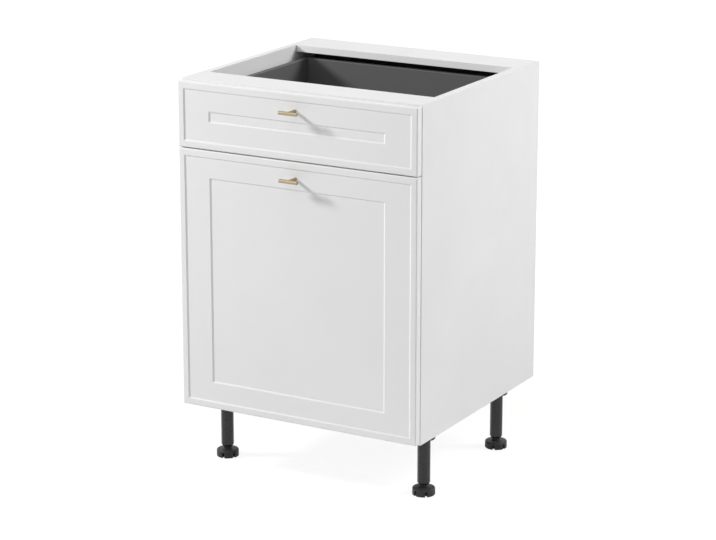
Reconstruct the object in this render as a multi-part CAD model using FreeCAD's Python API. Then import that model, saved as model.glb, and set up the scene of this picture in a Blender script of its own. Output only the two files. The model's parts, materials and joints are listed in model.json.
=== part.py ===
"""Kitchen base cabinet with a shallow top drawer, a deep pull-out and four levelling legs.

Millimetres, +Z up, +X to the right and -Y towards the user. The origin is on the floor, under
the middle of the whole outline, from the knobs' front to the carcass' rear edge.
"""
import FreeCAD, Part
import os

# Carcass boards
cabinet_width = 600.0
carcass_height = 750.0
carcass_depth = 560.0
panel_thickness = 18.0
rail_thickness = 16.0
front_rail_depth = 84.0
rear_rail_depth = 100.0
back_thickness = 3.0
back_inset = 12.0
groove_depth = 8.0
groove_clearance = 0.1

# Carcass fittings: cams, cam bolts and dowels
joint_edge = 22.0
joint_pitch = 32.0
cam_radius = 7.5
cam_height = 12.5
cam_slot_width = 1.4
cam_slot_length = 10.5
cam_slot_depth = 2.0
cam_setback = 34.0
bolt_radius = 3.0
bolt_in_side = 11.0
bolt_head_radius = 3.6
bolt_head_length = 3.0
dowel_radius = 4.0
dowel_length = 30.0
dowel_in_side = 11.0
fitting_clearance = 0.05
cam_clearance = 0.1
hole_end_clearance = 0.5

# Modelling helpers
cut_overshoot = 1.0
touch_tolerance = 0.001

# Legs
leg_height = 150.0
leg_side_inset = 43.5
leg_front_inset = 98.0
leg_back_inset = 105.0
leg_tube_radius = 14.5
leg_tube_wall = 3.0
leg_taper_height = 4.0
leg_taper_radius = 12.0
leg_collar_height = 16.0
leg_plate_half = 32.0
leg_plate_corner = 9.0
leg_plate_thickness = 5.0
leg_boss_height = 16.0
leg_boss_clearance = 0.1
leg_socket_radius = 25.0
leg_socket_height = 14.0
plate_screw_offset = 22.0
plate_screw_length = 16.0

# Feet
foot_radius = 25.5
foot_height = 18.0
foot_edge_radius = 3.0
foot_base_chamfer = 1.0
foot_notch_count = 6
foot_notch_width = 4.0
foot_notch_depth = 9.0
foot_notch_height = 11.0
foot_turns = {"front_left": 37.0, "front_right": 11.0, "back_left": 25.0, "back_right": 44.0}
neck_radius = 10.2
neck_height = 7.0
neck_clearance = 0.3
stem_radius = 5.0
stem_reach = 46.0
thread_clearance = 0.1

# Screws
screw_radius = 2.0
screw_head_radius = 3.8
screw_head_height = 2.2
screw_clearance = 0.05

# Fronts
front_thickness = 18.0
front_gap = 1.5
front_side_reveal = 1.5
front_end_reveal = 4.0
front_spacing = 2.5
upper_front_height = 146.5
front_edge_radius = 3.0
lip_width = 14.4
lip_bevel_width = 3.2
lip_depth = 2.2
stile_width = 78.4
rail_width = 60.9
panel_bevel_width = 3.2
panel_recess = 2.2
bumper_radius = 4.0
bumper_clearance = 0.3
bumper_end_inset = 20.0

# T-knobs
knob_drop = 37.0
knob_standoff = 28.0
knob_bar_radius = 4.2
knob_bar_length = 46.0
knob_bar_edge = 0.8
knob_post_radius = 3.8
knob_spigot_radius = 2.4
knob_spigot_length = 4.0
knob_clearance = 0.02
knob_screw_grip = 14.0

# Drawer boxes
drawer_rear_space = 63.0
drawer_side_height = 110.0
drawer_side_thickness = 13.0
drawer_sheet = 1.2
drawer_edge_radius = 1.0
drawer_board = 16.0
drawer_board_clearance = 0.3
drawer_top_clearance = 14.2
lower_drawer_lift = 24.0
drawer_back_depth = 13.0
tongue_length = 18.0
tongue_height = 50.0
tongue_clearance = 0.4
bracket_sheet = 1.5
bracket_arm = 70.0
bracket_height = 70.0
bracket_clearance = 0.2
bracket_screw_pitch = 44.0
bracket_screw_length = 13.0

# Gallery rails of the deep pull-out
gallery_radius = 5.0
gallery_pitch = 65.0
gallery_count = 2
socket_radius = 6.4
socket_length = 20.0
socket_insert = 14.0
back_above_gallery = 16.0

# Ball-bearing runners
runner_space = 13.0
runner_setback = 3.0
runner_rear_setback = 5.0
runner_half_height = 22.5
runner_sheet = 1.2
runner_lip_gap = 1.2
runner_rise = 40.0
ball_radius = 1.5
ball_clearance = 0.2
ball_pitch = 50.0
ball_count = 5
cage_sheet = 0.7
cage_strip = 0.8
cage_length = 240.0
cage_gap = 0.4
cage_margin = 1.0
cage_ball_clearance = 0.15
runner_screw_end = 40.0
runner_screw_count = 3
runner_screw_length = 14.0
rivet_radius = 1.6
rivet_head_radius = 3.0
rivet_head_height = 1.0

# Derived levels and planes
half_width = cabinet_width / 2
inner_half = half_width - panel_thickness
carcass_bottom = leg_height
carcass_top = leg_height + carcass_height
floor_board_top = carcass_bottom + panel_thickness
knob_reach = knob_standoff + knob_bar_radius
total_depth = knob_reach + front_thickness + front_gap + carcass_depth
rear_y = total_depth / 2
carcass_front_y = rear_y - carcass_depth
front_back_y = carcass_front_y - front_gap
front_face_y = front_back_y - front_thickness
back_rear_y = rear_y - back_inset
back_front_y = back_rear_y - back_thickness
rail_bottom = carcass_top - rail_thickness
back_top = rail_bottom + groove_depth - groove_clearance

upper_front_top = carcass_top - front_end_reveal
upper_front_bottom = upper_front_top - upper_front_height
lower_front_top = upper_front_bottom - front_spacing
lower_front_bottom = carcass_bottom + front_end_reveal

drawer_outer_half = inner_half - runner_space
drawer_inner_half = drawer_outer_half - drawer_side_thickness
drawer_rear_y = back_front_y - drawer_rear_space
side_rear_y = drawer_rear_y - drawer_back_depth
upper_side_top = rail_bottom - drawer_top_clearance
upper_side_bottom = upper_side_top - drawer_side_height
lower_side_bottom = floor_board_top + lower_drawer_lift
lower_side_top = lower_side_bottom + drawer_side_height
gallery_top = lower_side_top + gallery_pitch * gallery_count

runner_front_y = carcass_front_y + runner_setback
runner_rear_y = drawer_rear_y - runner_rear_setback
runner_length = runner_rear_y - runner_front_y
runner_mid_y = (runner_front_y + runner_rear_y) / 2

# Runner section, measured as the distance u from the carcass wall and the height z from its axis
cabinet_inner_z = runner_half_height - runner_sheet
outer_ball_z = cabinet_inner_z - ball_clearance - ball_radius
middle_outer_z = outer_ball_z - ball_radius - ball_clearance
middle_inner_z = middle_outer_z - runner_sheet
inner_ball_z = middle_inner_z - ball_clearance - ball_radius
drawer_outer_z = inner_ball_z - ball_radius - ball_clearance
drawer_inner_z = drawer_outer_z - runner_sheet
outer_cage_u = runner_sheet + cage_gap
middle_web_u = outer_cage_u + cage_sheet + cage_gap
inner_cage_u = middle_web_u + runner_sheet + cage_gap
drawer_tip_u = inner_cage_u + cage_sheet + cage_gap
drawer_web_u = runner_space - runner_sheet
middle_tip_u = drawer_web_u - runner_lip_gap
cabinet_tip_u = middle_tip_u - runner_lip_gap
outer_ball_u = (outer_cage_u + cage_sheet + cabinet_tip_u) / 2
inner_ball_u = (drawer_tip_u + middle_tip_u) / 2

sides = {"left": -1, "right": 1}
x_axis = FreeCAD.Vector(1, 0, 0)
y_axis = FreeCAD.Vector(0, 1, 0)
z_axis = FreeCAD.Vector(0, 0, 1)


def point(x, y, z):
    return FreeCAD.Vector(x, y, z)


def box(x_pair, y_pair, z_pair):
    low = point(min(x_pair), min(y_pair), min(z_pair))
    high = point(max(x_pair), max(y_pair), max(z_pair))
    size = high - low
    return Part.makeBox(size.x, size.y, size.z, low)


def rod(radius, start, axis, length):
    return Part.makeCylinder(radius, length, start, axis)


def prism(points, direction):
    outline = Part.makePolygon(points + points[:1])
    return Part.Face(outline).extrude(direction)


def turned(profile, centre):
    points = [point(centre.x + r, centre.y, centre.z + z) for r, z in profile]
    face = Part.Face(Part.makePolygon(points + points[:1]))
    return face.revolve(centre, z_axis, 360)


def cut_all(shape, tools):
    return shape.cut(tools) if tools else shape


def closed_edges(shape, axis_value, axis):
    edges = [e for e in shape.Edges if e.isClosed()]
    return [e for e in edges if abs(e.CenterOfMass.dot(axis) - axis_value) < touch_tolerance]


def save(name, *solids):
    shape = solids[0] if len(solids) == 1 else Part.makeCompound(list(solids))
    shape.exportStep("parts/" + name + ".step")


def wall_x(sign, u):
    return sign * (inner_half - u)


def screw(start, axis, length):
    """A countersunk screw. Its flat head lies at start and its shank runs along axis."""
    head = Part.makeCone(screw_head_radius, screw_radius, screw_head_height, start, axis)
    return head.fuse(rod(screw_radius, start, axis, length)).removeSplitter()


def screw_hole(start, axis, length):
    wide = screw_head_radius + screw_clearance
    narrow = screw_radius + screw_clearance
    head = Part.makeCone(wide, narrow, screw_head_height, start, axis)
    return head.fuse(rod(narrow, start, axis, length + hole_end_clearance))


# Places of the boards' joints: the cam bolts and dowels at both ends of each cross board
def joint_rows():
    bottom_z = carcass_bottom + panel_thickness / 2
    rail_z = carcass_top - rail_thickness / 2
    return [
        ("bottom", carcass_front_y + joint_edge, joint_pitch, bottom_z, carcass_bottom),
        ("bottom", back_front_y - joint_edge, -joint_pitch, bottom_z, carcass_bottom),
        ("front_rail", carcass_front_y + joint_edge, joint_pitch, rail_z, rail_bottom),
        ("rear_rail", back_front_y - joint_edge, -joint_pitch, rail_z, rail_bottom),
    ]


def cam_bolt(sign, y, z):
    reach = cam_setback + bolt_head_length / 2
    start = point(sign * (inner_half + bolt_in_side), y, z)
    inward = x_axis * -sign
    pin = rod(bolt_radius, start, inward, bolt_in_side + reach)
    head_start = point(sign * (inner_half - reach + bolt_head_length), y, z)
    return pin.fuse(rod(bolt_head_radius, head_start, inward, bolt_head_length)).removeSplitter()


def cam_bolt_hole(sign, y, z, clearance):
    reach = cam_setback + bolt_head_length / 2 + hole_end_clearance
    start = point(sign * inner_half, y, z)
    return rod(bolt_head_radius + clearance, start, x_axis * -sign, reach)


def cam_housing(sign, y, z, face_z):
    centre = point(sign * (inner_half - cam_setback), y, face_z)
    body = rod(cam_radius, centre, z_axis, cam_height)
    slots = []
    for along_x, along_y in ((cam_slot_length, cam_slot_width), (cam_slot_width, cam_slot_length)):
        x_pair = (centre.x - along_x / 2, centre.x + along_x / 2)
        y_pair = (centre.y - along_y / 2, centre.y + along_y / 2)
        slots.append(box(x_pair, y_pair, (face_z, face_z + cam_slot_depth)))
    return cut_all(body, slots + [cam_bolt_hole(sign, y, z, cam_clearance)])


def cam_pocket(sign, y, face_z):
    centre = point(sign * (inner_half - cam_setback), y, face_z)
    return rod(cam_radius + cam_clearance, centre, z_axis, cam_height + cam_clearance)


def dowel(sign, y, z, clearance, end_clearance):
    start = point(sign * (inner_half + dowel_in_side + end_clearance), y, z)
    length = dowel_length + 2 * end_clearance
    return rod(dowel_radius + clearance, start, x_axis * -sign, length)


def back_groove(x_pair, z_pair):
    y_pair = (back_front_y - groove_clearance, back_rear_y + groove_clearance)
    return box(x_pair, y_pair, z_pair)


def runner_axis_heights():
    return {"upper": upper_side_bottom + runner_rise, "lower": lower_side_bottom + runner_rise}


def runner_screw_places():
    first = runner_front_y + runner_screw_end
    pitch = (runner_length - 2 * runner_screw_end) / (runner_screw_count - 1)
    return [first + pitch * i for i in range(runner_screw_count)]


# Carcass
def side_panel(sign):
    x_pair = (sign * half_width, sign * inner_half)
    panel = box(x_pair, (carcass_front_y, rear_y), (carcass_bottom, carcass_top))
    groove_x = (sign * inner_half, sign * (inner_half + groove_depth))
    tools = [back_groove(groove_x, (carcass_bottom, back_top + groove_clearance))]
    for board, y, pitch, z, face_z in joint_rows():
        bolt_start = point(sign * inner_half, y, z)
        bolt_depth = bolt_in_side + fitting_clearance
        tools.append(rod(bolt_radius + fitting_clearance, bolt_start, x_axis * sign, bolt_depth))
        tools.append(dowel(sign, y + pitch, z, fitting_clearance, fitting_clearance))
    for z in runner_axis_heights().values():
        for y in runner_screw_places():
            start = point(wall_x(sign, runner_sheet), y, z)
            tools.append(screw_hole(start, x_axis * sign, runner_screw_length))
    return cut_all(panel, tools)


def cross_board(name, y_pair, z_pair):
    board = box((-inner_half, inner_half), y_pair, z_pair)
    tools = []
    for board_name, y, pitch, z, face_z in joint_rows():
        if board_name != name:
            continue
        for sign in sides.values():
            tools.append(cam_pocket(sign, y, face_z))
            tools.append(cam_bolt_hole(sign, y, z, fitting_clearance))
            tools.append(dowel(sign, y + pitch, z, fitting_clearance, hole_end_clearance))
    return cut_all(board, tools)


def leg_places():
    front = carcass_front_y + leg_front_inset
    back = rear_y - leg_back_inset
    x = half_width - leg_side_inset
    return {
        "front_left": point(-x, front, 0),
        "front_right": point(x, front, 0),
        "back_left": point(-x, back, 0),
        "back_right": point(x, back, 0),
    }


def plate_screw_starts(place):
    offsets = (-plate_screw_offset, plate_screw_offset)
    z = carcass_bottom - leg_plate_thickness
    return [point(place.x + dx, place.y + dy, z) for dx in offsets for dy in offsets]


def make_carcass():
    for name, sign in sides.items():
        save(name + "_side_panel", side_panel(sign))
    bottom = cross_board("bottom", (carcass_front_y, back_front_y), (carcass_bottom, floor_board_top))
    plate_holes = []
    for place in leg_places().values():
        for start in plate_screw_starts(place):
            plate_holes.append(screw_hole(start, z_axis, plate_screw_length))
    save("bottom_panel", cut_all(bottom, plate_holes))
    front_y = (carcass_front_y, carcass_front_y + front_rail_depth)
    save("front_top_rail", cross_board("front_rail", front_y, (rail_bottom, carcass_top)))
    rear_rail = cross_board("rear_rail", (rear_y - rear_rail_depth, rear_y), (rail_bottom, carcass_top))
    rail_groove = back_groove((-inner_half, inner_half), (rail_bottom, back_top + groove_clearance))
    save("rear_top_rail", rear_rail.cut(rail_groove))
    back_half = inner_half + groove_depth - groove_clearance
    save("back_panel", box((-back_half, back_half), (back_front_y, back_rear_y), (carcass_bottom, back_top)))
    cams = []
    bolts = []
    dowels = []
    for board, y, pitch, z, face_z in joint_rows():
        for sign in sides.values():
            cams.append(cam_housing(sign, y, z, face_z))
            bolts.append(cam_bolt(sign, y, z))
            dowels.append(dowel(sign, y + pitch, z, 0, 0))
    save("cam_housings", *cams)
    save("cam_bolts", *bolts)
    save("wood_dowels", *dowels)


# Legs and feet
def leg_plate(place):
    top = carcass_bottom
    low = top - leg_plate_thickness
    plate = box(
        (place.x - leg_plate_half, place.x + leg_plate_half),
        (place.y - leg_plate_half, place.y + leg_plate_half),
        (low, top),
    )
    corners = [e for e in plate.Edges if e.BoundBox.ZLength > leg_plate_thickness - touch_tolerance]
    plate = plate.makeFillet(leg_plate_corner, corners)
    boss_radius = leg_tube_radius - leg_tube_wall - leg_boss_clearance
    boss = rod(boss_radius, point(place.x, place.y, low - leg_boss_height), z_axis, leg_boss_height)
    socket_start = point(place.x, place.y, low - leg_socket_height)
    socket = rod(leg_socket_radius, socket_start, z_axis, leg_socket_height)
    socket = socket.cut(rod(leg_tube_radius + leg_boss_clearance, socket_start, z_axis, leg_socket_height))
    holes = [screw_hole(start, z_axis, plate_screw_length) for start in plate_screw_starts(place)]
    return cut_all(plate.fuse([boss, socket]).removeSplitter(), holes)


def leg_tube(place):
    foot_top = foot_height + neck_height
    top = carcass_bottom - leg_plate_thickness
    bore = stem_radius + thread_clearance
    inner = leg_tube_radius - leg_tube_wall
    profile = [
        (bore, foot_top),
        (leg_taper_radius, foot_top),
        (leg_tube_radius, foot_top + leg_taper_height),
        (leg_tube_radius, top),
        (inner, top),
        (inner, foot_top + leg_collar_height),
        (bore, foot_top + leg_collar_height),
    ]
    return turned(profile, place)


def foot(place, first_angle):
    disc = rod(foot_radius, place, z_axis, foot_height)
    disc = disc.makeFillet(foot_edge_radius, closed_edges(disc, foot_height, z_axis))
    disc = disc.makeChamfer(foot_base_chamfer, closed_edges(disc, 0, z_axis))
    notches = []
    for i in range(foot_notch_count):
        notch = box(
            (foot_radius - foot_notch_depth, foot_radius + cut_overshoot),
            (-foot_notch_width / 2, foot_notch_width / 2),
            (-cut_overshoot, foot_notch_height),
        )
        notch.rotate(point(0, 0, 0), z_axis, first_angle + 360 / foot_notch_count * i)
        notch.translate(place)
        notches.append(notch)
    disc = cut_all(disc, notches)
    neck_length = neck_height - neck_clearance
    neck = rod(neck_radius, point(place.x, place.y, foot_height), z_axis, neck_length)
    stem_length = neck_length + stem_reach
    stem = rod(stem_radius, point(place.x, place.y, foot_height), z_axis, stem_length)
    return disc.fuse([neck, stem]).removeSplitter()


def make_legs():
    screws = []
    for name, place in leg_places().items():
        save("leg_plate_" + name, leg_plate(place))
        save("leg_tube_" + name, leg_tube(place))
        save("foot_" + name, foot(place, foot_turns[name]))
        screws += [screw(start, z_axis, plate_screw_length) for start in plate_screw_starts(place)]
    save("leg_plate_screws", *screws)


# Runners
def channel(sign, axis_z, web, tip, inner_z, outer_z, y_pair):
    """A C-section along Y: web is the pair of u at its outer and inner face, tip the flanges' end."""
    outer_x = wall_x(sign, web[0])
    inner_x = wall_x(sign, web[1])
    tip_x = wall_x(sign, tip)
    corners = [
        (outer_x, -outer_z),
        (tip_x, -outer_z),
        (tip_x, -inner_z),
        (inner_x, -inner_z),
        (inner_x, inner_z),
        (tip_x, inner_z),
        (tip_x, outer_z),
        (outer_x, outer_z),
    ]
    points = [point(x, y_pair[0], axis_z + z) for x, z in corners]
    return prism(points, y_axis * (y_pair[1] - y_pair[0]))


def ball_centres(sign, axis_z, u, z):
    first = runner_mid_y - ball_pitch * (ball_count - 1) / 2
    places = [first + ball_pitch * i for i in range(ball_count)]
    return [point(wall_x(sign, u), y, axis_z + dz) for y in places for dz in (-z, z)]


def ball_cage(sign, axis_z, web_u, ball_u, ball_z):
    web = (web_u, web_u + cage_sheet)
    tip = ball_u + ball_radius + cage_margin
    y_pair = (runner_mid_y - cage_length / 2, runner_mid_y + cage_length / 2)
    half_strip = cage_strip / 2
    cage = channel(sign, axis_z, web, tip, ball_z - half_strip, ball_z + half_strip, y_pair)
    centres = ball_centres(sign, axis_z, ball_u, ball_z)
    hole_radius = ball_radius + cage_ball_clearance
    holes = [rod(hole_radius, c - z_axis * cage_strip, z_axis, 2 * cage_strip) for c in centres]
    return [cut_all(cage, holes)] + [Part.makeSphere(ball_radius, c) for c in centres]


def rivet_start(sign, y, z):
    return point(wall_x(sign, drawer_web_u), y, z)


def rivet(sign, y, z):
    grip = runner_sheet + drawer_sheet
    outward = x_axis * -sign
    shank = rod(rivet_radius, rivet_start(sign, y, z), outward, grip)
    head_start = point(wall_x(sign, drawer_web_u + grip), y, z)
    return shank.fuse(rod(rivet_head_radius, head_start, outward, rivet_head_height)).removeSplitter()


def rivet_hole(sign, y, z):
    grip = runner_sheet + drawer_sheet
    return rod(rivet_radius + screw_clearance, rivet_start(sign, y, z), x_axis * -sign, grip)


def make_runners():
    y_pair = (runner_front_y, runner_rear_y)
    screws = []
    for level, axis_z in runner_axis_heights().items():
        cabinet = []
        middle = []
        outer_cages = []
        inner_cages = []
        drawer = []
        rivets = []
        for sign in sides.values():
            web = (0, runner_sheet)
            rail = channel(sign, axis_z, web, cabinet_tip_u, cabinet_inner_z, runner_half_height, y_pair)
            starts = [point(wall_x(sign, runner_sheet), y, axis_z) for y in runner_screw_places()]
            holes = [screw_hole(start, x_axis * sign, runner_screw_length) for start in starts]
            cabinet.append(cut_all(rail, holes))
            screws += [screw(start, x_axis * sign, runner_screw_length) for start in starts]
            web = (middle_web_u, middle_web_u + runner_sheet)
            middle.append(channel(sign, axis_z, web, middle_tip_u, middle_inner_z, middle_outer_z, y_pair))
            outer_cages += ball_cage(sign, axis_z, outer_cage_u, outer_ball_u, outer_ball_z)
            inner_cages += ball_cage(sign, axis_z, inner_cage_u, inner_ball_u, inner_ball_z)
            web = (runner_space, drawer_web_u)
            rail = channel(sign, axis_z, web, drawer_tip_u, drawer_inner_z, drawer_outer_z, y_pair)
            drawer.append(cut_all(rail, [rivet_hole(sign, y, axis_z) for y in runner_screw_places()]))
            rivets += [rivet(sign, y, axis_z) for y in runner_screw_places()]
        save(level + "_cabinet_rails", *cabinet)
        save(level + "_middle_rails", *middle)
        save(level + "_outer_ball_cages", *outer_cages)
        save(level + "_inner_ball_cages", *inner_cages)
        save(level + "_drawer_rails", *drawer)
        save(level + "_rail_rivets", *rivets)
    save("runner_screws", *screws)


# Fronts and knobs
def frame_wire(x_half, low, high, inset_x, inset_z, y):
    x = x_half - inset_x
    corners = [
        point(-x, y, low + inset_z),
        point(x, y, low + inset_z),
        point(x, y, high - inset_z),
        point(-x, y, high - inset_z),
    ]
    return Part.makePolygon(corners + corners[:1])


def bevelled_pocket(x_half, low, high, insets, start_y, depth, bevel):
    """A shallow recess with sloping sides, carried on in front of its start so that it cuts cleanly."""
    rise = bevel / depth
    inset_x, inset_z = insets
    ahead = rise * cut_overshoot
    outer = frame_wire(x_half, low, high, inset_x - ahead, inset_z - ahead, start_y - cut_overshoot)
    inner = frame_wire(x_half, low, high, inset_x + bevel, inset_z + bevel, start_y + depth)
    return Part.makeLoft([outer, inner], True, True)


def bracket_screw_starts(low):
    centre_z = low + drawer_sheet + drawer_board + bracket_height / 2
    y = front_back_y + bracket_sheet
    starts = []
    for sign in sides.values():
        x = sign * (drawer_outer_half - drawer_side_thickness / 2)
        for offset in (-bracket_screw_pitch / 2, bracket_screw_pitch / 2):
            starts.append(point(x, y, centre_z + offset))
    return starts


def drawer_front(low, high, side_bottom):
    x_half = half_width - front_side_reveal
    blank = box((-x_half, x_half), (front_face_y, front_back_y), (low, high))
    face_edges = [e for e in blank.Edges if abs(e.BoundBox.YMax - front_face_y) < touch_tolerance]
    blank = blank.makeFillet(front_edge_radius, face_edges)
    field_y = front_face_y + lip_depth
    lip = bevelled_pocket(
        x_half, low, high, (lip_width, lip_width), front_face_y, lip_depth, lip_bevel_width
    )
    recess = bevelled_pocket(
        x_half, low, high, (stile_width, rail_width), field_y, panel_recess, panel_bevel_width
    )
    tools = [lip, recess]
    for start in bracket_screw_starts(side_bottom):
        tools.append(screw_hole(start, y_axis * -1, bracket_screw_length))
    knob_start = point(0, front_face_y, high - knob_drop)
    tools.append(rod(screw_radius + screw_clearance, knob_start, y_axis, front_thickness))
    return cut_all(blank, tools)


def knob_pieces(z):
    bar_y = front_face_y - knob_standoff
    field_y = front_face_y + lip_depth
    bar_start = point(-knob_bar_length / 2, bar_y, z)
    bar = rod(knob_bar_radius, bar_start, x_axis, knob_bar_length)
    for end_x in (-knob_bar_length / 2, knob_bar_length / 2):
        bar = bar.makeChamfer(knob_bar_edge, closed_edges(bar, end_x, x_axis))
    spigot_start = point(0, bar_y + knob_bar_radius - knob_spigot_length, z)
    spigot_reach = knob_spigot_length + knob_standoff
    socket = rod(knob_spigot_radius + knob_clearance, spigot_start, y_axis, spigot_reach)
    post = rod(knob_post_radius, point(0, bar_y, z), y_axis, field_y - bar_y)
    around = rod(knob_bar_radius + knob_clearance, bar_start, x_axis, knob_bar_length)
    spigot = rod(knob_spigot_radius, spigot_start, y_axis, knob_post_radius + knob_spigot_length)
    post = post.cut(around).fuse(spigot).removeSplitter()
    grip_start = point(0, field_y - knob_screw_grip, z)
    bore_length = knob_screw_grip + hole_end_clearance
    bore_start = point(0, grip_start.y - hole_end_clearance, z)
    post = post.cut(rod(screw_radius + screw_clearance, bore_start, y_axis, bore_length))
    shank = rod(screw_radius, grip_start, y_axis, front_back_y - grip_start.y)
    head = rod(screw_head_radius, point(0, front_back_y, z), y_axis, screw_head_height)
    return bar.cut(socket), post, shank.fuse(head).removeSplitter()


def front_bumpers(low, high):
    depth = front_gap - bumper_clearance
    x = half_width - panel_thickness / 2
    bumpers = []
    for sign in sides.values():
        for z in (low + bumper_end_inset, high - bumper_end_inset):
            bumpers.append(rod(bumper_radius, point(sign * x, front_back_y, z), y_axis, depth))
    return bumpers


# Drawer boxes
def drawer_side(sign, low, axis_z):
    high = low + drawer_side_height
    outer = drawer_outer_half
    inner = drawer_inner_half
    board_top = low + drawer_sheet + drawer_board
    corners = [
        (outer, low),
        (inner, low),
        (inner, low + drawer_sheet),
        (outer - drawer_sheet, low + drawer_sheet),
        (outer - drawer_sheet, high - drawer_sheet),
        (inner + drawer_sheet, high - drawer_sheet),
        (inner + drawer_sheet, board_top),
        (inner, board_top),
        (inner, high),
        (outer, high),
    ]
    points = [point(sign * x, front_back_y, z) for x, z in corners]
    shell = prism(points, y_axis * (side_rear_y - front_back_y))
    along = [e for e in shell.Edges if e.BoundBox.XLength < touch_tolerance]
    ridges = [e for e in along if e.BoundBox.ZMin > high - touch_tolerance]
    shell = shell.makeFillet(drawer_edge_radius, ridges)
    return cut_all(shell, [rivet_hole(sign, y, axis_z) for y in runner_screw_places()])


def drawer_back(low, high):
    front = side_rear_y
    corners = [
        (front, low),
        (drawer_rear_y, low),
        (drawer_rear_y, low + drawer_sheet),
        (front + drawer_sheet, low + drawer_sheet),
        (front + drawer_sheet, high - drawer_sheet),
        (drawer_rear_y, high - drawer_sheet),
        (drawer_rear_y, high),
        (front, high),
    ]
    points = [point(-drawer_outer_half, y, z) for y, z in corners]
    shell = prism(points, x_axis * (2 * drawer_outer_half))
    tongue_low = low + drawer_sheet + drawer_board + tongue_clearance
    tongues = []
    for sign in sides.values():
        near = sign * (drawer_outer_half - drawer_sheet - tongue_clearance - rivet_head_height)
        far = sign * (drawer_inner_half + drawer_sheet + tongue_clearance)
        z_pair = (tongue_low, tongue_low + tongue_height)
        tongues.append(box((near, far), (front - tongue_length, front), z_pair))
    return shell.fuse(tongues).removeSplitter()


def drawer_board_panel(low):
    x = drawer_outer_half - drawer_sheet - drawer_board_clearance
    z = low + drawer_sheet
    return box((-x, x), (front_back_y, side_rear_y), (z, z + drawer_board))


def front_bracket(sign, low):
    outer = drawer_outer_half - drawer_sheet
    inner = drawer_inner_half + drawer_sheet + bracket_clearance
    z = low + drawer_sheet + drawer_board
    z_pair = (z, z + bracket_height)
    plate = box((sign * inner, sign * outer), (front_back_y, front_back_y + bracket_sheet), z_pair)
    arm_x = (sign * (outer - bracket_sheet), sign * outer)
    arm = box(arm_x, (front_back_y, front_back_y + bracket_arm), z_pair)
    holes = [screw_hole(start, y_axis * -1, bracket_screw_length) for start in bracket_screw_starts(low)]
    rivet_rooms = []
    for axis_z in runner_axis_heights().values():
        for y in runner_screw_places():
            room = rivet_head_radius + bracket_clearance
            start = point(sign * outer, y, axis_z)
            rivet_rooms.append(rod(room, start, x_axis * -sign, bracket_sheet + rivet_head_height))
    return cut_all(plate.fuse(arm).removeSplitter(), holes + rivet_rooms)


def make_drawer(level, front_low, front_high, side_low, back_high):
    axis_z = runner_axis_heights()[level]
    save(level + "_front", drawer_front(front_low, front_high, side_low))
    for name, sign in sides.items():
        save(level + "_" + name + "_drawer_side", drawer_side(sign, side_low, axis_z))
    save(level + "_drawer_back", drawer_back(side_low, back_high))
    save(level + "_drawer_bottom", drawer_board_panel(side_low))
    save(level + "_front_brackets", *[front_bracket(sign, side_low) for sign in sides.values()])
    starts = bracket_screw_starts(side_low)
    save(level + "_bracket_screws", *[screw(s, y_axis * -1, bracket_screw_length) for s in starts])
    bar, post, knob_screw = knob_pieces(front_high - knob_drop)
    save(level + "_knob_bar", bar)
    save(level + "_knob_post", post)
    save(level + "_knob_screw", knob_screw)
    save(level + "_front_bumpers", *front_bumpers(front_low, front_high))


def make_gallery():
    rails = []
    sockets = []
    for sign in sides.values():
        x = sign * (drawer_outer_half - drawer_side_thickness / 2)
        for i in range(gallery_count):
            z = lower_side_top + gallery_pitch * (i + 1)
            start = point(x, front_back_y + socket_length - socket_insert, z)
            rails.append(rod(gallery_radius, start, y_axis, side_rear_y - start.y))
            socket = rod(socket_radius, point(x, front_back_y, z), y_axis, socket_length)
            sockets.append(socket.cut(rod(gallery_radius + fitting_clearance, start, y_axis, socket_insert)))
    save("gallery_rails", *rails)
    save("gallery_sockets", *sockets)


os.makedirs("parts", exist_ok=True)
make_carcass()
make_legs()
make_runners()
make_drawer(
    "upper", upper_front_bottom, upper_front_top, upper_side_bottom, upper_side_top
)
make_drawer(
    "lower", lower_front_bottom, lower_front_top, lower_side_bottom, gallery_top + back_above_gallery
)
make_gallery()
print("total depth", round(total_depth, 2), "height", carcass_top, "width", cabinet_width)
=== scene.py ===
import bmesh
import bpy
import json
import math
from mathutils import Matrix, Vector


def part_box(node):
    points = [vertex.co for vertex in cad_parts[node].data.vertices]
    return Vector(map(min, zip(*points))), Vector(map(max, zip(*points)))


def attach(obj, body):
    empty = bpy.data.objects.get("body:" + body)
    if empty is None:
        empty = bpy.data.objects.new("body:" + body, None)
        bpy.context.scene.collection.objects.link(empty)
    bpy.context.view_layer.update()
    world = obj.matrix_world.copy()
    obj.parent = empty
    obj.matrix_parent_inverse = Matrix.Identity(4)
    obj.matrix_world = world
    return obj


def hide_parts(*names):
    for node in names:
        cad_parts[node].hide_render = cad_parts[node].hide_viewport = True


# Kitchen base cabinet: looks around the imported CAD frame, in metres

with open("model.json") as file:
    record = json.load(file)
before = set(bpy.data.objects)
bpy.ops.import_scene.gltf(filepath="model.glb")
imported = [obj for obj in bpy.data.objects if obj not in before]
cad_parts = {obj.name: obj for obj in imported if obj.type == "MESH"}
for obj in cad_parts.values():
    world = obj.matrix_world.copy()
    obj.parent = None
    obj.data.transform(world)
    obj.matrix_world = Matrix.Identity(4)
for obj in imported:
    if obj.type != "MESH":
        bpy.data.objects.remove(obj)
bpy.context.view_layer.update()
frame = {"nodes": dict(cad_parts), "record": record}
mm = 0.001
scene = bpy.context.scene
cadNodes = frame["nodes"]
bodyOf = {}
for bodyName, members in frame["record"]["behaviour"]["bodies"].items():
    bodyOf.update({member: bodyName for member in members})
levels = ("upper", "lower")

shading = {
    "weld": 0.001 * mm,
    "bevelSteps": 2,
    "bevelFrom": math.radians(40),  # edges sharper than this are eased
    "sharpFrom": math.radians(52),  # edges sharper than this stay crisp
}


# Mesh helpers

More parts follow.
